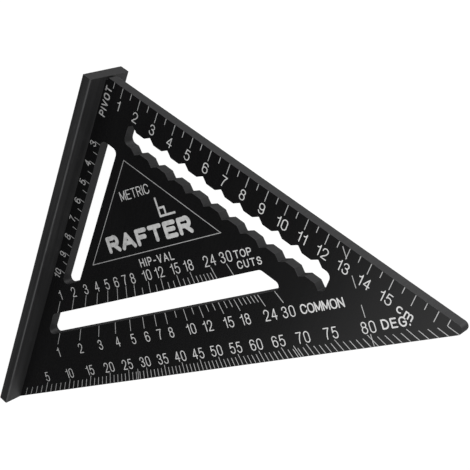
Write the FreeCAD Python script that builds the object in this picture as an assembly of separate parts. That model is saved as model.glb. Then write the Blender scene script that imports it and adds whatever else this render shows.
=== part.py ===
import FreeCAD, Part
import math
import os
from FreeCAD import Matrix, Vector

# A rafter square: a right-angled triangular blade on a T-section fence, with white filled scales.
#
# The part stands on the outer face of its fence. X runs along the fence from the pivot corner, Y goes
# through the blade from its marked face to its plain face, and Z rises along the ruler edge. The origin
# is the middle of the fence's outer face.
#
# Flat shapes are drawn on the blade's marked face: u is the distance from the fence, along the ruler
# edge, and v is the distance from the ruler edge, along the fence. Lengths are in millimetres.

# Blade and fence
BLADE_LEG = 183.5            # each short side of the blade, to the sharp corner
BLADE_T = 5.0
FENCE_T = 4.8
LIP_FRONT = 9.4              # how far the fence stands out from the marked face
LIP_BACK = 8.4               # and from the plain face
FENCE_EDGE_R = 0.4
TIP_R = 2.1                  # rounding of the acute tip on the ruler edge
PIVOT_RELIEF_R = 1.3         # quarter-round cut in the blade at the pivot corner

# Slots and the webs between them
FENCE_WEB = 6.35             # blade left between the fence and the slots beside it
SIDE_SLOT_W = 9.4            # slot parallel to the fence
SIDE_SLOT_TOP = 27.2         # from the ruler edge
SIDE_SLOT_WEB = 12.2         # blade left between it and the rafter slot
RAFTER_SLOT_W = 9.4          # slot parallel to the 45 degree edge
RAFTER_HYP_WEB = 27.75       # blade left between it and that edge
RAFTER_TOP = 32.0            # its upper end, from the ruler edge
NOTCH_SLOT_W = 7.6           # slot parallel to the ruler edge
RULER_WEB = 14.25            # blade left between it and the ruler edge
NOTCH_STEP = 10.0
NOTCH_FIRST = 2              # the first notch stands this many steps from the fence
NOTCH_DEPTH = 2.0
NOTCH_HALF_W = 2.7
NOTCH_END = 2.3             # slot past the middle of its first and last notches
NOTCH_TIP_WEB = 33.0         # least blade left between its far end and the 45 degree edge
NOTCH_R = 0.35
CORNER_R = 2.6               # rounding of the square and wide slot corners
ACUTE_R = 2.1                # rounding of the sharp ones

# Filled marks
PAINT_T = 0.08
LINE_W = 0.3
EDGE_GAP = 0.15              # marks stop this far short of a cut edge
RULER_TICKS = (5.0, 3.0)     # long and short
SIDE_TICKS = (3.1, 2.5)
RAFTER_TICKS = (5.1, 3.0)
DEGREE_TICKS = (4.8, 3.6)
DIGIT_H = 4.7
DIGIT_STROKE = 0.42
SIDE_DIGIT_H = 3.7
CHARACTER_GAP = 0.95         # clear space between two characters
RULER_CLEAR = 1.05           # between the long ticks and the numerals of each scale
DEGREE_CLEAR = 0.55
COMMON_CLEAR = 1.6
HIP_CLEAR = 0.6
RULER_TIP_CLEAR = 8.4        # from the last short tick on the ruler edge to the sharp corner
RULER_WORD_CLEAR = 33.4      # least room for the ruler's unit past its last numeral
HIP_WORD_ROW = 13.65         # from the rafter slot to the middle of the word beside it
PANEL_ROW = 17.8             # from the rafter slot to the thin panel line
PANEL_SIDE = 4.6             # from the side slot to that line
PANEL_TOP = 7.0              # from the notched slot to that line
GUIDE_ANGLE = 79.42          # where the dashed line meets the 45 degree edge
GUIDE_DASH = 4.9
GUIDE_STEP = 11.4

PITCH_RUN = 10.0             # a common pitch is its rise over this run
PITCHES = (1, 2, 3, 4, 5, 6, 7, 8, 10, 12, 15, 18, 24, 30)
FINE_PITCHES = (9, 11, 13, 14, 16, 17, 19, 20, 21, 22, 23)
EXTRA_ANGLES = (27.5, 67.5)

# Places worked out from those sizes. A line parallel to the 45 degree edge lies at a fixed "reach",
# which is its square distance from the pivot corner.
ROOT2 = math.sqrt(2)
EDGE_REACH = BLADE_LEG / ROOT2
SLOT_LOW = EDGE_REACH - RAFTER_HYP_WEB
SLOT_HIGH = SLOT_LOW - RAFTER_SLOT_W
SIDE_END = SLOT_HIGH - SIDE_SLOT_WEB
SIDE_FAR = FENCE_WEB + SIDE_SLOT_W
NOTCH_LOW = RULER_WEB + NOTCH_SLOT_W
NOTCH_LAST = int((BLADE_LEG - NOTCH_LOW - NOTCH_TIP_WEB - NOTCH_END) / NOTCH_STEP - 0.5)
FENCE_W = LIP_FRONT + BLADE_T + LIP_BACK
FACE_Y = LIP_FRONT - FENCE_W / 2

# Each row of numerals stands clear of its long ticks. Rows are measured from their edge to their middle.
RULER_ROW = RULER_TICKS[0] + RULER_CLEAR + DIGIT_H / 2
DEGREE_ROW = DEGREE_TICKS[0] + DEGREE_CLEAR + DIGIT_H / 2
COMMON_ROW = RAFTER_TICKS[0] + COMMON_CLEAR + DIGIT_H / 2
HIP_ROW = RAFTER_TICKS[0] + HIP_CLEAR + DIGIT_H / 2

# Character strokes on a grid one unit high. A stroke starts at a point; (x, y) goes on straight and
# (x, y, x2, y2) goes through the first point to the second along an arc.
STROKES = {
    "0": [[(0, 0.7), (0.27, 1, 0.54, 0.7), (0.54, 0.3), (0.27, 0, 0, 0.3), (0, 0.7)]],
    "1": [[(0, 0.74), (0.19, 0.81, 0.28, 1), (0.28, 0)]],
    "2": [[(0, 0.7), (0.27, 1, 0.54, 0.72), (0.43, 0.47, 0.2, 0.25), (0, 0), (0.56, 0)]],
    "3": [[(0.02, 0.76), (0.27, 1, 0.5, 0.76), (0.43, 0.6, 0.22, 0.54)],
          [(0.22, 0.54), (0.46, 0.46, 0.54, 0.27), (0.27, 0, 0, 0.25)]],
    "4": [[(0.42, 0), (0.42, 1)], [(0.42, 1), (0, 0.3), (0.58, 0.3)]],
    "5": [[(0.5, 1), (0.1, 1), (0.04, 0.52), (0.4, 0.62, 0.54, 0.32), (0.28, 0, 0, 0.22)]],
    "6": [[(0.52, 0.8), (0.23, 1, 0, 0.64), (0, 0.31), (0.27, 0, 0.54, 0.31)],
          [(0.54, 0.31), (0.3, 0.6, 0.02, 0.4)]],
    "7": [[(0, 1), (0.55, 1), (0.3, 0.55, 0.19, 0)]],
    "8": [[(0.13, 0.57), (0.27, 1, 0.41, 0.57)],
          [(0, 0.28), (0.27, 0.56, 0.54, 0.28), (0.27, 0, 0, 0.28)]],
    "9": [[(0.02, 0.2), (0.31, 0, 0.54, 0.36), (0.54, 0.69), (0.27, 1, 0, 0.69)],
          [(0, 0.69), (0.24, 0.4, 0.52, 0.6)]],
    "A": [[(0, 0), (0.36, 1), (0.72, 0)], [(0.13, 0.34), (0.59, 0.34)]],
    "C": [[(0.68, 0.72), (0.38, 1, 0, 0.6), (0, 0.4), (0.38, 0, 0.68, 0.28)]],
    "D": [[(0, 0), (0, 1), (0.28, 1), (0.66, 0.5, 0.28, 0), (0, 0)]],
    "E": [[(0.56, 1), (0, 1), (0, 0), (0.56, 0)], [(0, 0.52), (0.5, 0.52)]],
    "F": [[(0.54, 1), (0, 1), (0, 0)], [(0, 0.5), (0.46, 0.5)]],
    "G": [[(0.66, 0.76), (0.36, 1, 0, 0.6), (0, 0.4), (0.38, 0, 0.68, 0.26), (0.68, 0.46), (0.42, 0.46)]],
    "H": [[(0, 0), (0, 1)], [(0.62, 0), (0.62, 1)], [(0, 0.52), (0.62, 0.52)]],
    "I": [[(0, 0), (0, 1)]],
    "L": [[(0, 1), (0, 0), (0.52, 0)]],
    "M": [[(0, 0), (0, 1), (0.37, 0.12), (0.74, 1), (0.74, 0)]],
    "N": [[(0, 0), (0, 1), (0.62, 0), (0.62, 1)]],
    "O": [[(0, 0.6), (0.36, 1, 0.72, 0.6), (0.72, 0.4), (0.36, 0, 0, 0.4), (0, 0.6)]],
    "P": [[(0, 0), (0, 1)], [(0, 1), (0.33, 1), (0.59, 0.73, 0.33, 0.46), (0, 0.46)]],
    "R": [[(0, 0), (0, 1)], [(0, 1), (0.33, 1), (0.59, 0.74, 0.33, 0.48), (0, 0.48)],
          [(0.3, 0.48), (0.6, 0)]],
    "S": [[(0.55, 0.76), (0.29, 1, 0.03, 0.75), (0.1, 0.59, 0.29, 0.52)],
          [(0.29, 0.52), (0.5, 0.43, 0.57, 0.26), (0.29, 0, 0, 0.24)]],
    "T": [[(0, 1), (0.64, 1)], [(0.32, 1), (0.32, 0)]],
    "U": [[(0, 1), (0, 0.32), (0.3, 0, 0.6, 0.32), (0.6, 1)]],
    "V": [[(0, 1), (0.34, 0), (0.68, 1)]],
    "c": [[(0.46, 0.6), (0.27, 0.68, 0, 0.38), (0, 0.3), (0.27, 0, 0.46, 0.08)]],
    "m": [[(0, 0), (0, 0.68)], [(0, 0.46), (0.2, 0.68, 0.4, 0.46), (0.4, 0)],
          [(0.4, 0.46), (0.6, 0.68, 0.8, 0.46), (0.8, 0)]],
    "-": [[(0, 0.42), (0.32, 0.42)]],
    ".": [[(0, 0), (0, 0.06)]],
}


def up_the_line(s, reach):
    """Blade point at a reach from the pivot, a distance s up the 45 degree line from its middle."""
    return (s + reach) / ROOT2, (reach - s) / ROOT2


def stand(shape):
    """Turn a shape from (u, v, depth into the blade) to the part's frame."""
    return shape.transformed(Matrix(0, 1, 0, -BLADE_LEG / 2, 0, 0, 1, FACE_Y, 1, 0, 0, FENCE_T, 0, 0, 0, 1))


def outline(corners):
    """Closed outline through (u, v, radius) corners, each rounded by a tangent arc."""
    points = [Vector(u, v, 0) for u, v, _ in corners]
    turns = []
    for i, (_, _, radius) in enumerate(corners):
        here = points[i]
        back = (points[i - 1] - here).normalize()
        on = (points[(i + 1) % len(points)] - here).normalize()
        half = back.getAngle(on) / 2
        run = radius / math.tan(half)
        middle = here + (back + on).normalize() * (radius / math.sin(half) - radius)
        turns.append((here + back * run, middle, here + on * run))
    edges = []
    for i, (start, middle, end) in enumerate(turns):
        if (end - start).Length > 1e-6:
            edges.append(Part.Arc(start, middle, end).toShape())
        edges.append(Part.LineSegment(end, turns[(i + 1) % len(turns)][0]).toShape())
    return Part.Wire(edges)


def plate(wire, depth, start=0.0):
    """Solid between two depths of the blade, with a flat outline."""
    face = Part.Face(wire)
    face.translate(Vector(0, 0, start))
    return face.extrude(Vector(0, 0, depth))


def through(wire):
    """Cutter that passes through the whole blade."""
    return plate(wire, BLADE_T + 2, -1)


# The three slots and the blade

def side_slot():
    lower = SIDE_END * ROOT2
    return outline([(FENCE_WEB, SIDE_SLOT_TOP, CORNER_R), (SIDE_FAR, SIDE_SLOT_TOP, CORNER_R),
                    (SIDE_FAR, lower - SIDE_FAR, CORNER_R), (FENCE_WEB, lower - FENCE_WEB, ACUTE_R)])


def rafter_slot():
    high, low = SLOT_HIGH * ROOT2, SLOT_LOW * ROOT2
    return outline([(FENCE_WEB, high - FENCE_WEB, CORNER_R), (high - RAFTER_TOP, RAFTER_TOP, CORNER_R),
                    (low - RAFTER_TOP, RAFTER_TOP, ACUTE_R), (FENCE_WEB, low - FENCE_WEB, ACUTE_R)])


def notched_slot():
    """Both long edges are notched: one at whole steps, the other half a step further on."""
    start = NOTCH_FIRST * NOTCH_STEP - NOTCH_END
    end = (NOTCH_LAST + 0.5) * NOTCH_STEP + NOTCH_END
    flank = NOTCH_DEPTH * (1 - NOTCH_END / NOTCH_HALF_W)
    corners = [(start, RULER_WEB - flank, 2 * NOTCH_R)]
    for n in range(NOTCH_FIRST, NOTCH_LAST + 1):
        middle = n * NOTCH_STEP
        if n > NOTCH_FIRST:
            corners.append((middle - NOTCH_HALF_W, RULER_WEB, NOTCH_R))
        corners.append((middle, RULER_WEB - NOTCH_DEPTH, NOTCH_R))
        corners.append((middle + NOTCH_HALF_W, RULER_WEB, NOTCH_R))
    corners += [(end, RULER_WEB, CORNER_R), (end, NOTCH_LOW + flank, 2 * NOTCH_R)]
    for n in range(NOTCH_LAST, NOTCH_FIRST - 1, -1):
        middle = (n + 0.5) * NOTCH_STEP
        if n < NOTCH_LAST:
            corners.append((middle + NOTCH_HALF_W, NOTCH_LOW, NOTCH_R))
        corners.append((middle, NOTCH_LOW + NOTCH_DEPTH, NOTCH_R))
        corners.append((middle - NOTCH_HALF_W, NOTCH_LOW, NOTCH_R))
    corners.append((start, NOTCH_LOW, CORNER_R))
    return outline(corners)


def blade():
    body = plate(outline([(0, 0, 0), (BLADE_LEG, 0, TIP_R), (0, BLADE_LEG, 0)]), BLADE_T)
    relief = Part.makeCylinder(PIVOT_RELIEF_R, BLADE_T + 2, Vector(0, 0, -1))
    return body.cut([through(side_slot()), through(rafter_slot()), through(notched_slot()), relief])


def fence():
    """Flange across the blade's long edge, cut square at both ends."""
    y = -LIP_FRONT
    r = FENCE_EDGE_R
    corners = [(-FENCE_T, y), (-FENCE_T, y + FENCE_W), (0, y + FENCE_W), (0, y)]
    section = outline([(u, depth, r) for u, depth in corners])
    upright = section.transformed(Matrix(1, 0, 0, 0, 0, 0, 1, 0, 0, 1, 0, 0, 0, 0, 0, 1))
    return Part.Face(upright).extrude(Vector(0, BLADE_LEG, 0))


# Marks: each stands PAINT_T proud of the blade's face

def mark(wire):
    return plate(wire, -PAINT_T)


def bar(a, b, width=LINE_W):
    """Straight mark between two blade points."""
    a, b = Vector(*a, 0), Vector(*b, 0)
    side = (b - a).normalize().cross(Vector(0, 0, 1)) * (width / 2)
    return mark(Part.makePolygon([a + side, b + side, b - side, a - side, a + side]))


def radial_tick(angle, reach, length, width=LINE_W):
    """Tick that points at the pivot corner, from a reach inwards, with ends parallel to the 45 degree edge."""
    lean = math.radians(angle - 45)
    half = width / 2 / math.cos(lean)
    corners = []
    for level, side in ((reach, -half), (reach, half), (reach - length, half), (reach - length, -half)):
        corners.append(Vector(*up_the_line(level * math.tan(lean) + side, level), 0))
    return mark(Part.makePolygon(corners + corners[:1]))


def straight_band(a, b, thick):
    """Flat band with round ends about one straight line."""
    on = (b - a).normalize() * (thick / 2)
    side = on.cross(Vector(0, 0, 1))
    return Part.Face(Part.Wire([
        Part.LineSegment(a + side, b + side).toShape(), Part.Arc(b + side, b + on, b - side).toShape(),
        Part.LineSegment(b - side, a - side).toShape(), Part.Arc(a - side, a - on, a + side).toShape()]))


def stroke_face(stroke, wide, tall, thick):
    """Flat band of even thickness along one stroke of a character."""
    pen = Vector(stroke[0][0] * wide, stroke[0][1] * tall, 0)
    start, edges = pen, []
    for step in stroke[1:]:
        ends = [Vector(step[i] * wide, step[i + 1] * tall, 0) for i in range(0, len(step), 2)]
        if len(ends) == 1:
            edges.append(Part.LineSegment(pen, ends[0]).toShape())
        else:
            edges.append(Part.Arc(pen, ends[0], ends[1]).toShape())
        pen = ends[-1]
    if len(stroke) == 2 and len(stroke[1]) == 2:
        return straight_band(start, pen, thick)
    line = Part.Wire(edges)
    if not line.isClosed():
        return Part.Face(line.makeOffset2D(thick / 2, 0, False, False))
    return Part.Face(line.makeOffset2D(thick / 2)).cut(Part.Face(line.makeOffset2D(-thick / 2)))


CHARACTERS = {}


def character(letter, height, thick, spread):
    """One character as solids with its left foot at the origin, and how wide it is. Built once."""
    key = (letter, height, thick, spread)
    if key not in CHARACTERS:
        tall = height - thick
        wide = tall * spread
        faces = [stroke_face(stroke, wide, tall, thick) for stroke in STROKES[letter]]
        flat = faces[0] if len(faces) == 1 else faces[0].fuse(faces[1:]).removeSplitter()
        left, right = flat.BoundBox.XMin, flat.BoundBox.XMax
        flat.translate(Vector(-left, thick / 2, 0))
        CHARACTERS[key] = ([face.extrude(Vector(0, 0, PAINT_T)) for face in flat.Faces], right - left)
    return CHARACTERS[key]


LEVEL, UPWARD, SLOPING = (1, 0), (0, -1), (1 / ROOT2, -1 / ROOT2)


def write(text, at, run, height=DIGIT_H, thick=DIGIT_STROKE, length=None, spread=1.0, hold=0.5):
    """Characters in a row. run is the reading direction; hold is the share of the row before the point
    at, and the row's middle height lies on it. A stated length sets the gaps between the characters."""
    parts = [character(letter, height, thick, spread) for letter in text]
    total = sum(width for _, width in parts)
    gap = CHARACTER_GAP
    if length is not None and len(parts) > 1:
        gap = (length - total) / (len(parts) - 1)
    total += gap * (len(parts) - 1)
    ru, rv = run
    solids = []
    pen = -total * hold
    for shapes, width in parts:
        foot_u = at[0] + ru * pen - rv * height / 2
        foot_v = at[1] + rv * pen + ru * height / 2
        turn = Matrix(ru, rv, 0, foot_u, rv, -ru, 0, foot_v, 0, 0, -1, 0, 0, 0, 0, 1)
        solids += [shape.transformed(turn) for shape in shapes]
        pen += width + gap
    return solids


def ruler_positions():
    """Half centimetres along the ruler edge, as far as a short tick clears the tip."""
    room = BLADE_LEG - RULER_TIP_CLEAR
    return [k * NOTCH_STEP / 2 for k in range(1, int(2 * room / NOTCH_STEP) + 1)]


def last_ruler_number():
    return int((BLADE_LEG - RULER_WORD_CLEAR) / NOTCH_STEP)


def ruler_ticks():
    ticks = []
    for i, u in enumerate(ruler_positions()):
        length = RULER_TICKS[0] if i % 2 else RULER_TICKS[1]
        ticks.append(bar((u, EDGE_GAP), (u, length)))
    return ticks


def ruler_numerals():
    marks = []
    for n in range(1, last_ruler_number() + 1):
        marks += write(str(n), (n * NOTCH_STEP + (0.3 if n > 9 else -0.1), RULER_ROW), LEVEL)
    return marks


def ruler_unit():
    u = last_ruler_number() * NOTCH_STEP + 9.2
    return write("cm", (u, RULER_ROW + 0.3), LEVEL, height=3.9, thick=0.55, length=7.2, spread=1.15)


def side_positions():
    """Half centimetres beside the side slot that clear both of its ends."""
    first = math.ceil((SIDE_SLOT_TOP + 2) * 2 / NOTCH_STEP)
    last = int((SIDE_END * ROOT2 - FENCE_WEB - 4) * 2 / NOTCH_STEP)
    return range(first, last + 1)


def side_ticks():
    foot = FENCE_WEB - EDGE_GAP
    ticks = []
    for k in side_positions():
        v = k * NOTCH_STEP / 2
        ticks.append(bar((foot, v), (foot - SIDE_TICKS[k % 2], v)))
    return ticks


def side_numerals():
    marks = []
    for k in side_positions():
        if k % 2 == 0:
            at = (SIDE_DIGIT_H / 2 + 0.5, k * NOTCH_STEP / 2 + LINE_W / 2 + EDGE_GAP)
            marks += write(str(k // 2), at, UPWARD, height=SIDE_DIGIT_H, thick=0.45, hold=1.0)
    return marks


def degree_ticks():
    reach = EDGE_REACH - EDGE_GAP
    ticks = [radial_tick(a, reach, DEGREE_TICKS[1 if a % 5 else 0]) for a in range(1, 90)]
    return ticks + [radial_tick(a, reach, DEGREE_TICKS[0]) for a in EXTRA_ANGLES]


def guide_place():
    """How far up the 45 degree line the dashed line crosses."""
    return EDGE_REACH * math.tan(math.radians(GUIDE_ANGLE - 45))


def degree_numerals():
    """Each stands over its tick; the last is centred on the dashed line."""
    reach = EDGE_REACH - DEGREE_ROW
    marks = []
    for angle in range(5, 80, 5):
        s = reach * math.tan(math.radians(angle - 45)) + 0.03 * (angle - 45)
        marks += write(str(angle), up_the_line(s, reach), SLOPING)
    return marks + write("80", up_the_line(guide_place(), reach), SLOPING)


def degree_word():
    at = up_the_line(guide_place() + 6.0, EDGE_REACH - DEGREE_ROW - 0.2)
    return write("DEG.", at, SLOPING, height=3.9, thick=0.6, length=12.3, spread=1.2, hold=0.0)


def pitch_angle(rise, run):
    return math.degrees(math.atan(rise / run))


def pitch_ticks(run, edge, way):
    """Ticks from the rafter slot's edge: way is 1 when they point inwards, -1 when they point outwards."""
    long, short = RAFTER_TICKS
    ticks = []
    for rise in PITCHES + FINE_PITCHES:
        length = long if rise in PITCHES else short
        start = edge - EDGE_GAP if way > 0 else edge + EDGE_GAP
        ticks.append(radial_tick(pitch_angle(rise, run), start, way * length))
    return ticks


def pitch_row(run, reach, lead, creep):
    """Pitch numerals in line with their ticks. They creep along the row as the pitch grows."""
    marks = []
    for rise in PITCHES:
        s = reach * math.tan(math.radians(pitch_angle(rise, run) - 45)) + lead + creep * rise
        marks += write(str(rise), up_the_line(s, reach), SLOPING)
    return marks, s


def common_ticks():
    return pitch_ticks(PITCH_RUN, SLOT_LOW, -1)


def common_numerals():
    return pitch_row(PITCH_RUN, SLOT_LOW + COMMON_ROW, 1.6, -0.085)[0]


def common_word():
    start = pitch_row(PITCH_RUN, SLOT_LOW + COMMON_ROW, 1.6, -0.085)[1] + 6.1
    at = up_the_line(start, SLOT_LOW + COMMON_ROW)
    return write("COMMON", at, SLOPING, height=4.0, thick=0.56, length=21.0, spread=1.1, hold=0.0)


def hip_ticks():
    return pitch_ticks(PITCH_RUN * ROOT2, SLOT_HIGH, 1)


def hip_numerals():
    return pitch_row(PITCH_RUN * ROOT2, SLOT_HIGH - HIP_ROW, -1.0, 0.09)[0]


TOP_CUTS_DRAWN = 92.6        # these two words are sized for a slot at this reach and grow with it


def top_cut_words():
    g = SLOT_HIGH / TOP_CUTS_DRAWN
    start = pitch_row(PITCH_RUN * ROOT2, SLOT_HIGH - HIP_ROW, -1.0, 0.09)[1] + 4.6 * g
    style = {"height": 3.3 * g, "thick": 0.46 * g, "hold": 0.0, "spread": 1.2}
    upper = write("TOP", up_the_line(start, SLOT_HIGH - HIP_ROW), SLOPING, length=9.3 * g, **style)
    lower = write("CUTS", up_the_line(start, SLOT_HIGH - HIP_ROW + 4.4 * g), SLOPING, length=12.9 * g, **style)
    return upper + lower


# The panel is a thin triangle; its lettering is sized for a long side of PANEL_DRAWN and grows with it
PANEL_DRAWN = 78.8
PANEL_REACH = SLOT_HIGH - PANEL_ROW
PANEL_U = SIDE_FAR + PANEL_SIDE
PANEL_V = NOTCH_LOW + PANEL_TOP
PANEL_LONG = (2 * PANEL_REACH / ROOT2 - PANEL_U - PANEL_V) * ROOT2
PANEL_MIDDLE = (PANEL_U - PANEL_V) / ROOT2
PANEL_GROWTH = PANEL_LONG / PANEL_DRAWN


def panel_line():
    far_u, far_v = PANEL_REACH * ROOT2 - PANEL_V, PANEL_REACH * ROOT2 - PANEL_U
    inset = LINE_W * math.tan(math.radians(67.5))
    outer = outline([(PANEL_U, PANEL_V, 0), (far_u, PANEL_V, 0), (PANEL_U, far_v, 0)])
    inner = outline([(PANEL_U + LINE_W, PANEL_V + LINE_W, 0),
                     (far_u - inset, PANEL_V + LINE_W, 0), (PANEL_U + LINE_W, far_v - inset, 0)])
    return [plate(outer, -PAINT_T).cut(plate(inner, -3 * PAINT_T, PAINT_T))]


def in_panel(s, below):
    """Point of the panel: s from its middle, and below from its long side towards the pivot."""
    return up_the_line(PANEL_MIDDLE + s * PANEL_GROWTH, PANEL_REACH - below * PANEL_GROWTH)


def panel_words():
    g = PANEL_GROWTH
    title = write("RAFTER", in_panel(-0.3, 6.6), SLOPING, height=7.4 * g, thick=1.9 * g, length=51.5 * g,
                  spread=1.75)
    system = write("METRIC", in_panel(-0.1, 25.2), SLOPING, height=4.2 * g, thick=0.42 * g, length=17.6 * g)
    return title, system


def panel_sign():
    """A plain right-angle sign."""
    wide = 0.9 * PANEL_GROWTH
    lines = [((10.2, 20.8), (10.2, 12.8)), ((9.75, 12.8), (19.0, 12.8)),
             ((10.2, 16.2), (14.05, 16.2)), ((13.6, 16.2), (13.6, 12.8))]
    bars = [bar(in_panel(*a), in_panel(*b), wide) for a, b in lines]
    return [bars[0].fuse(bars[1:]).removeSplitter()]


def hip_word():
    at = up_the_line(PANEL_MIDDLE, SLOT_HIGH - HIP_WORD_ROW)
    return write("HIP-VAL", at, SLOPING, height=3.7, thick=0.5, length=20.8, spread=1.05)


def pivot_word():
    return write("PIVOT", (2.9, 10.25), UPWARD, height=3.5, thick=0.56, length=13.9, spread=1.05)


def guide_line(crossed):
    """Dashes square to the 45 degree edge, counted back from it. They stop at the marks they cross."""
    s = guide_place()
    pieces = []
    end = EDGE_REACH - EDGE_GAP
    while end - GUIDE_DASH > s + 1:
        dash = bar(up_the_line(s, end), up_the_line(s, end - GUIDE_DASH))
        touching = [other for other in crossed if other.BoundBox.intersect(dash.BoundBox)]
        pieces += dash.cut(touching).Solids if touching else [dash]
        end -= GUIDE_STEP
    return pieces


TITLE, SYSTEM = panel_words()
CROSSED = ruler_ticks() + degree_ticks() + ruler_numerals() + degree_numerals()
NODES = {
    "blade": [blade()],
    "fence": [fence()],
    "ruler_ticks": ruler_ticks(),
    "ruler_numerals": ruler_numerals(),
    "ruler_unit": ruler_unit(),
    "side_ticks": side_ticks(),
    "side_numerals": side_numerals(),
    "degree_ticks": degree_ticks(),
    "degree_numerals": degree_numerals(),
    "degree_word": degree_word(),
    "common_ticks": common_ticks(),
    "common_numerals": common_numerals(),
    "common_word": common_word(),
    "hip_ticks": hip_ticks(),
    "hip_numerals": hip_numerals(),
    "hip_word": hip_word(),
    "top_cut_words": top_cut_words(),
    "panel_line": panel_line(),
    "panel_title": TITLE,
    "panel_system": SYSTEM,
    "panel_sign": panel_sign(),
    "pivot_word": pivot_word(),
    "guide_line": guide_line(CROSSED),
}

os.makedirs("parts", exist_ok=True)
for name, solids in NODES.items():
    placed = [stand(solid) for solid in solids]
    shape = placed[0] if len(placed) == 1 else Part.makeCompound(placed)
    shape.exportStep("parts/" + name + ".step")
    print(name, len(shape.Solids), "solids, volume", round(shape.Volume, 3))
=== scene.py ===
import math

import bpy
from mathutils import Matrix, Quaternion, Vector


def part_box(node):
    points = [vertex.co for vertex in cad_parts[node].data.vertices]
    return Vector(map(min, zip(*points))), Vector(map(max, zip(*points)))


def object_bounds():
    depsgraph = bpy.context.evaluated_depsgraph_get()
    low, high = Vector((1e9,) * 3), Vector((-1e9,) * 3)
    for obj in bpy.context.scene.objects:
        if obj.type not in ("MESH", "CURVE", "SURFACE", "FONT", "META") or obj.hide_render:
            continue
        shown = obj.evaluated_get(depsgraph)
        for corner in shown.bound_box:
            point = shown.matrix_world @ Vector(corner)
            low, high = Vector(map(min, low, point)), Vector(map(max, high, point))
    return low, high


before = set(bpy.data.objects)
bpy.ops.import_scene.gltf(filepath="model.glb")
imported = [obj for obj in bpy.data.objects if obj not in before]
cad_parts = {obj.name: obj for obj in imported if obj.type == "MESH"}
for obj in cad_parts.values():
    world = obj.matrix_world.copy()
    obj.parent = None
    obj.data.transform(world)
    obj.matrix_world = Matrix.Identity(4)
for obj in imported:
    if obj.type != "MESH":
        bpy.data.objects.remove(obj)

cad_low, cad_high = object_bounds()


# ---- The blade ----
# A right-angled triangle sawn from a drawn aluminium section, with three slots milled through it, then
# bead blasted and anodised black. Its faces are satin, with the drawing lines still in them. The milled
# edges and slot walls took less dye and are greyer. The walls that face up, away from the fence, are dull
# and darker with painted shade.
PER_METRE = 1000.0


class Wire:
    """One output of a shader node. Arithmetic on wires adds Math nodes to their tree."""

    def __init__(self, tree, socket=None):
        self.tree = tree
        self.socket = socket

    def add(self, kind, settings=None, inputs=None, output=0):
        """A new node: its settings are set first, then each input gets its value or its link."""
        node = self.tree.nodes.new(kind)
        for name, value in (settings or {}).items():
            setattr(node, name, value)
        for name, value in (inputs or {}).items():
            if isinstance(value, Wire):
                self.tree.links.new(value.socket, node.inputs[name])
            else:
                node.inputs[name].default_value = value
        return Wire(self.tree, node.outputs[output] if node.outputs else None)

    def math(self, operation, *values):
        return self.add("ShaderNodeMath", {"operation": operation}, dict(enumerate(values)))

    def __add__(self, other):
        return self.math("ADD", self, other)

    def __sub__(self, other):
        return self.math("SUBTRACT", self, other)

    def __rsub__(self, other):
        return self.math("SUBTRACT", other, self)

    def __mul__(self, other):
        return self.math("MULTIPLY", self, other)

    def __abs__(self):
        return self.math("ABSOLUTE", self)

    __radd__ = __add__
    __rmul__ = __mul__

    def axis(self, name):
        """The X, Y or Z of a vector."""
        return self.add("ShaderNodeSeparateXYZ", None, {"Vector": self}, name)

    def step(self, low, high):
        """0 up to low, 1 from high, and a smooth rise between them. It falls where low is the larger."""
        if low > high:
            return 1 - self.step(high, low)
        return self.add("ShaderNodeMapRange", {"interpolation_type": "SMOOTHSTEP"},
                        {"Value": self, "From Min": low, "From Max": high}, "Result")

    def noise(self, size, detail=2.0):
        """Noise about 0.5 over a place in millimetres, whose spots are size (x, y, z) millimetres long."""
        stretched = self.add("ShaderNodeVectorMath", {"operation": "DIVIDE"}, {0: self, 1: size})
        return self.add("ShaderNodeTexNoise", {"noise_dimensions": "3D"},
                        {"Vector": stretched, "Scale": 1.0, "Detail": detail, "Roughness": 0.55})

    def along(self, axis):
        """1 where a direction runs along an axis, either way, and 0 where it is well off it."""
        return abs(self.axis(axis)).step(0.5, 0.8)

    def tint(self, first, second):
        """Colour that goes from first to second as this wire goes from 0 to 1."""
        return self.add("ShaderNodeMix", {"data_type": "RGBA"}, {0: self, 6: first, 7: second}, 2)


def empty_tree(owner):
    """The node tree of a material or a world, with nothing in it yet."""
    owner.use_nodes = True
    owner.node_tree.nodes.clear()
    return Wire(owner.node_tree)


def start_finish(name):
    """A new material, its place on the piece in millimetres, and the direction that its surface faces."""
    material = bpy.data.materials.new(name)
    tree = empty_tree(material)
    metres = tree.add("ShaderNodeTexCoord", output="Object")
    place = tree.add("ShaderNodeVectorMath", {"operation": "SCALE"}, {0: metres, "Scale": PER_METRE})
    return material, place, tree.add("ShaderNodeTexCoord", output="Normal")


def end_finish(colour, roughness, height, bump, gloss, dull=None, dull_gloss=0.0):
    """Joins a colour, a roughness and a height in millimetres to the surface. gloss is the specular level,
    and where dull is 1 the surface has dull_gloss instead."""
    normal = height.add("ShaderNodeBump", None,
                        {"Strength": bump, "Distance": 1 / PER_METRE, "Height": height})
    looks = {"Base Color": colour, "Roughness": roughness, "Normal": normal}
    surface = colour.add("ShaderNodeBsdfPrincipled", None, {**looks, "Specular IOR Level": gloss})
    if dull is not None:
        matt = colour.add("ShaderNodeBsdfPrincipled", None, {**looks, "Specular IOR Level": dull_gloss})
        surface = dull.add("ShaderNodeMixShader", None, {0: dull, 1: surface, 2: matt})
    surface.add("ShaderNodeOutputMaterial", None, {"Surface": surface})


def dress(material, *nodes):
    """Gives CAD nodes a finish through their material slots."""
    for node in nodes:
        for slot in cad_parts[node].material_slots:
            slot.material = material


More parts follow.
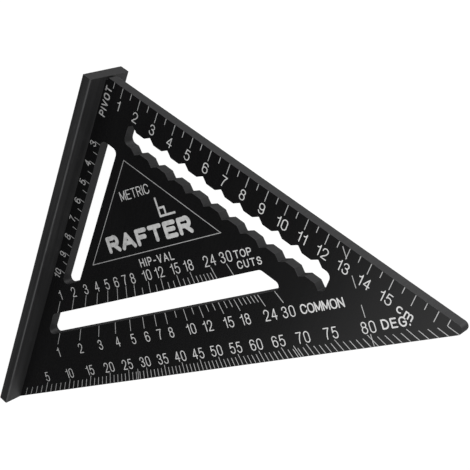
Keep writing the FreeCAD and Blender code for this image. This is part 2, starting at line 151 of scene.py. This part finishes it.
DYED_DEEP = (0.0014, 0.0014, 0.0016, 1)
DYED_THIN = (0.0032, 0.0032, 0.0034, 1)
MILLED = (0.030, 0.030, 0.031, 1)
MILLED_DARK = (0.024, 0.024, 0.025, 1)
ARRIS = (0.060, 0.060, 0.061, 1)
# Painted shade for the slot walls that face up, away from the fence.
MILLED_PAINTED_SHADE = (0.013, 0.013, 0.0135, 1)
BLADE_GLOSS = 0.50
DULL_GLOSS = 0.12
BLADE_ROUGH = 0.14
WALLS_ROUGHER = 0.42
METAL_BUMP = 0.5

# How long the spots of each pattern are along X, Y and Z, and how deep, in millimetres.
DRAWN_LINES = (26.0, 3.0, 0.42)
BLAST_GRAIN = (0.34, 0.34, 0.34)
DYE_CLOUDS = (34.0, 20.0, 22.0)
HAND_RUBS = (9.0, 9.0, 1.1)
CUTTER_MARKS = (0.5, 9.0, 0.5)
ARRIS_CHIPS = (3.0, 3.0, 3.0)
DRAWN_DEPTH = 0.004
BLAST_DEPTH = 0.008
CUTTER_DEPTH = 0.02

# An arris is worn up to the first distance from the face, and untouched from the second.
ARRIS_REACH = (0.05, 0.32)

blade_low, blade_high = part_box("blade")
FACE_Y = blade_low.y * PER_METRE
PLAIN_Y = blade_high.y * PER_METRE


def blade_finish():
    """Black with patches of thinner dye on the faces. The walls are grey and marked by the cutter, with
    worn arrises, and those that face up, away from the fence, are dull and darker with painted shade."""
    material, place, facing = start_finish("black_anodised_blade")
    walls = 1 - facing.along("Y")
    drawn = place.noise(DRAWN_LINES, 3)
    blasted = place.noise(BLAST_GRAIN)
    clouds = place.noise(DYE_CLOUDS)
    rubbed = place.noise(HAND_RUBS, 4).step(0.60, 0.80)
    cutter = place.noise(CUTTER_MARKS)
    depth = place.axis("Y")
    arris = 1 - (depth - FACE_Y).step(*ARRIS_REACH) * (PLAIN_Y - depth).step(*ARRIS_REACH)
    worn = arris * place.noise(ARRIS_CHIPS, 3).step(0.42, 0.60)
    thin = (clouds * 0.55 + drawn * 0.25 + blasted * 0.35 - 0.18).step(0.15, 0.75)
    face = (thin + rubbed * 0.35).tint(DYED_DEEP, DYED_THIN)
    # Painted shade: walls that face up get a darker colour and less worn arrises, and a duller specular
    # too.
    shaded_dull_walls = walls * facing.axis("Z").step(0.25, 0.85)
    milled = cutter.step(0.3, 0.7).tint(MILLED_DARK, MILLED)
    wall = (worn * (1 - shaded_dull_walls * 0.7)).tint(shaded_dull_walls.tint(milled, MILLED_PAINTED_SHADE), ARRIS)
    roughness = BLADE_ROUGH + drawn * 0.05 + blasted * 0.06 + walls * WALLS_ROUGHER
    height = drawn * DRAWN_DEPTH + blasted * BLAST_DEPTH + walls * cutter * CUTTER_DEPTH
    end_finish(walls.tint(face, wall), roughness, height, METAL_BUMP, BLADE_GLOSS, shaded_dull_walls, DULL_GLOSS)
    return material


dress(blade_finish(), "blade")


# ---- The fence ----
# The flange of the same drawn section, 23 mm wide and square at both ends. Its drawing lines run its
# whole length, and its four long edges, which ride along the timber, are rubbed lighter.
FENCE_DEEP = (0.0066, 0.0066, 0.0070, 1)
FENCE_THIN = (0.0160, 0.0160, 0.0165, 1)
FENCE_RUBBED = (0.040, 0.040, 0.041, 1)
FENCE_GLOSS = 0.25
FENCE_ROUGH = 0.46

# How long the spots of each pattern are along X, Y and Z, and how deep, in millimetres.
STREAKS = (60.0, 0.55, 0.55)
BANDS = (90.0, 2.6, 2.6)
SCUFFS = (7.0, 1.5, 1.5)
SAW_MARKS = (4.0, 0.4, 4.0)
EDGE_RUBS = (14.0, 1.2, 1.2)
STREAK_DEPTH = 0.010
SATIN_DEPTH = 0.006
SAWN_DEPTH = 0.01

# A long edge is untouched from the first distance, and rubbed up to the second.
EDGE_REACH = (0.75, 0.25)

fence_low, fence_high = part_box("fence")
FENCE_FRONT = fence_low.y * PER_METRE
FENCE_BACK = fence_high.y * PER_METRE
FENCE_TOP = fence_high.z * PER_METRE


def fence_finish():
    """Black, streaked and banded along its length, with scuffs, rubbed long edges and greyer sawn ends."""
    material, place, facing = start_finish("black_anodised_fence")
    ends = facing.along("X")
    streaks = place.noise(STREAKS, 4)
    bands = place.noise(BANDS)
    blasted = place.noise(BLAST_GRAIN)
    scuffs = place.noise(SCUFFS, 4).step(0.58, 0.78)
    sawn = place.noise(SAW_MARKS)
    across, up = place.axis("Y"), place.axis("Z")
    near_side = (across - FENCE_FRONT).step(*EDGE_REACH) + (FENCE_BACK - across).step(*EDGE_REACH)
    near_level = (FENCE_TOP - up).step(*EDGE_REACH) + up.step(*EDGE_REACH)
    edges = near_side * near_level * place.noise(EDGE_RUBS, 3).step(0.30, 0.52)
    thin = (streaks * 0.45 + bands * 0.55 + blasted * 0.20).step(0.42, 0.82) + ends * sawn * 0.6
    colour = (edges + scuffs * 0.18 + ends * 0.95).tint(thin.tint(FENCE_DEEP, FENCE_THIN), FENCE_RUBBED)
    roughness = FENCE_ROUGH + streaks * 0.10 + blasted * 0.08 - edges * 0.08
    height = streaks * STREAK_DEPTH + blasted * SATIN_DEPTH + ends * sawn * SAWN_DEPTH
    end_finish(colour, roughness, height, METAL_BUMP, FENCE_GLOSS)
    return material


dress(fence_finish(), "fence")


# ---- The fine white lines ----
# Scale ticks, the panel's outline and the dashed line are engraved hair-fine and wiped with white
# paint, which sits thinner in them than in the wide characters and lets a little black through.
FINE_WHITE = (0.38, 0.38, 0.38, 1)
# The colour that thin paint goes to, and that the painted shade near the fence darkens it to.
FINE_THIN_AND_SHADED = (0.12, 0.12, 0.12, 1)
PAINT_GLOSS = 0.35
PAINT_ROUGH = 0.62
PAINT_BUMP = 0.4
WIPED_PATCHES = (2.2, 2.2, 2.2)
PAINT_SPECKS = (0.28, 0.28, 0.28)
SPECK_DEPTH = 0.02

# Heights above the bench, in millimetres, where the shade painted on the white paint is deepest, at the
# fence, and where it ends.
PAINTED_SHADE_DEEPEST_Z = 0.0
PAINTED_SHADE_GONE_Z = 150.0


def filling(name, white, thin):
    """White filling paint with patches where it was wiped off, specks, and a matt grainy top. It goes from
    white to thin with them and on its sides, and darker towards the fence with painted shade."""
    material, place, facing = start_finish(name)
    wiped = place.noise(WIPED_PATCHES, 3).step(0.40, 0.70)
    specks = place.noise(PAINT_SPECKS)
    # Painted shade: the paint darkens lower down, towards the fence.
    painted_fence_shade = place.axis("Z").step(PAINTED_SHADE_GONE_Z, PAINTED_SHADE_DEEPEST_Z)
    sides = 1 - facing.along("Y")
    thinned_and_shaded = wiped * 0.25 + specks.step(0.52, 0.74) * 0.15 + painted_fence_shade * 0.60 + sides * 0.4
    roughness = PAINT_ROUGH + specks * 0.2
    end_finish(thinned_and_shaded.tint(white, thin), roughness, specks * SPECK_DEPTH, PAINT_BUMP, PAINT_GLOSS)
    return material


dress(filling("white_fill_fine", FINE_WHITE, FINE_THIN_AND_SHADED), "ruler_ticks", "side_ticks", "degree_ticks",
      "common_ticks", "hip_ticks", "panel_line", "guide_line")


# ---- The numerals and words ----
# The same paint in wider engraved strokes, where it lies thicker and shows whiter. It was wiped off in
# the same way, and it too is darkened towards the fence with painted shade.
BOLD_WHITE = (0.54, 0.54, 0.535, 1)
# The colour that thin paint goes to, and that the painted shade near the fence darkens it to.
BOLD_THIN_AND_SHADED = (0.155, 0.155, 0.155, 1)

dress(filling("white_fill_bold", BOLD_WHITE, BOLD_THIN_AND_SHADED), "ruler_numerals", "ruler_unit", "side_numerals",
      "degree_numerals", "degree_word", "common_numerals", "common_word", "hip_numerals", "hip_word",
      "top_cut_words", "panel_title", "panel_system", "panel_sign", "pivot_word")


# ---- The bench ----
# A plain matt table top that the square stands on. It has a light of its own, so that it shows as evenly
# lit white paper, and the metal doesn't mirror it.
BENCH_HALF = 6.0
BENCH_GREY = (0.15, 0.15, 0.15, 1)
BENCH_ROUGH = 0.9
BENCH_GLOW = 0.90
WHITE = (1, 1, 1, 1)


def bench():
    mesh = bpy.data.meshes.new("bench")
    mesh.from_pydata([(-BENCH_HALF, -BENCH_HALF, 0), (BENCH_HALF, -BENCH_HALF, 0),
                      (BENCH_HALF, BENCH_HALF, 0), (-BENCH_HALF, BENCH_HALF, 0)], [], [(0, 1, 2, 3)])
    material = bpy.data.materials.new("bench_white")
    surface = empty_tree(material).add(
        "ShaderNodeBsdfPrincipled", None,
        {"Base Color": BENCH_GREY, "Roughness": BENCH_ROUGH, "Specular IOR Level": 0.0,
         "Emission Color": WHITE, "Emission Strength": BENCH_GLOW})
    surface.add("ShaderNodeOutputMaterial", None, {"Surface": surface})
    mesh.materials.append(material)
    table = bpy.data.objects.new("bench", mesh)
    bpy.context.scene.collection.objects.link(table)
    table.visible_glossy = False


bench()


# ---- The studio ----
# A white tent around the bench, and one square diffuser in front of the marked side. The camera sees the
# tent plain white, but it falls off in two steps below the horizon, which the satin faces mirror as a
# soft shade that deepens towards the fence.
TENT_ABOVE = 0.90
TENT_LOW = 0.055
HORIZON_STEP = 0.80
HORIZON_EDGE = (-0.35, -0.22)
SKY_EDGE = (-0.22, 0.10)
DIFFUSER_MIDDLE = Vector((-0.34, -0.42, 0.54))
DIFFUSER_TARGET = Vector((0.0, 0.0, 0.09))
DIFFUSER_SIDE = 0.36
DIFFUSER_BRIGHT = 6.0


def tent():
    """Light from all round, stronger from above. Its strength is two smooth steps over the low one."""
    world = bpy.data.worlds.new("tent")
    height = empty_tree(world).add("ShaderNodeTexCoord", output="Generated").axis("Z")
    glow = (TENT_LOW + height.step(*HORIZON_EDGE) * HORIZON_STEP
            + height.step(*SKY_EDGE) * (TENT_ABOVE - TENT_LOW - HORIZON_STEP))
    seen = glow.add("ShaderNodeLightPath", output="Is Camera Ray")
    shown = glow + seen * (1 - glow)
    light = shown.add("ShaderNodeBackground", None, {"Color": WHITE, "Strength": shown})
    light.add("ShaderNodeOutputWorld", None, {"Surface": light})
    bpy.context.scene.world = world


def place_facing(thing, middle, direction):
    """Puts a lamp or a camera in the scene so that it looks along a direction."""
    thing.location = middle
    thing.rotation_mode = "QUATERNION"
    thing.rotation_quaternion = direction.to_track_quat("-Z", "Y")
    bpy.context.scene.collection.objects.link(thing)


def diffuser():
    """A flat soft light. Its power is its brightness times pi times its area."""
    light = bpy.data.lights.new("key_diffuser", "AREA")
    light.size = DIFFUSER_SIDE
    light.energy = DIFFUSER_BRIGHT * math.pi * DIFFUSER_SIDE ** 2
    lamp = bpy.data.objects.new("key_diffuser", light)
    lamp.visible_camera = False
    place_facing(lamp, DIFFUSER_MIDDLE, DIFFUSER_TARGET - DIFFUSER_MIDDLE)


tent()
diffuser()


# ---- The camera ----
# It looks down on the marked side from beyond the pivot corner, turned over so that the ruler edge
# falls away to the right and the fence stands at the left.
AIM_FROM_PIVOT = Vector((0.0258, 0, 0.0878))
CAMERA_AWAY = 0.4279
CAMERA_ROUND = math.radians(-35.01)
CAMERA_UP = math.radians(24.27)
CAMERA_ROLL = math.radians(126.54)
LENS = 83.0
SENSOR = 36.0
NEAREST = 0.01


def camera():
    aim = Vector((cad_low.x, blade_low.y, cad_low.z)) + AIM_FROM_PIVOT
    back = Vector((math.sin(CAMERA_ROUND) * math.cos(CAMERA_UP),
                   -math.cos(CAMERA_ROUND) * math.cos(CAMERA_UP), math.sin(CAMERA_UP)))
    eye = bpy.data.objects.new("camera", bpy.data.cameras.new("camera"))
    eye.data.lens = LENS
    eye.data.sensor_width = SENSOR
    eye.data.clip_start = NEAREST
    place_facing(eye, aim + back * CAMERA_AWAY, -back)
    eye.rotation_quaternion = eye.rotation_quaternion @ Quaternion((0, 0, 1), CAMERA_ROLL)
    bpy.context.scene.camera = eye


camera()
bpy.context.scene.view_settings.view_transform = "Standard"
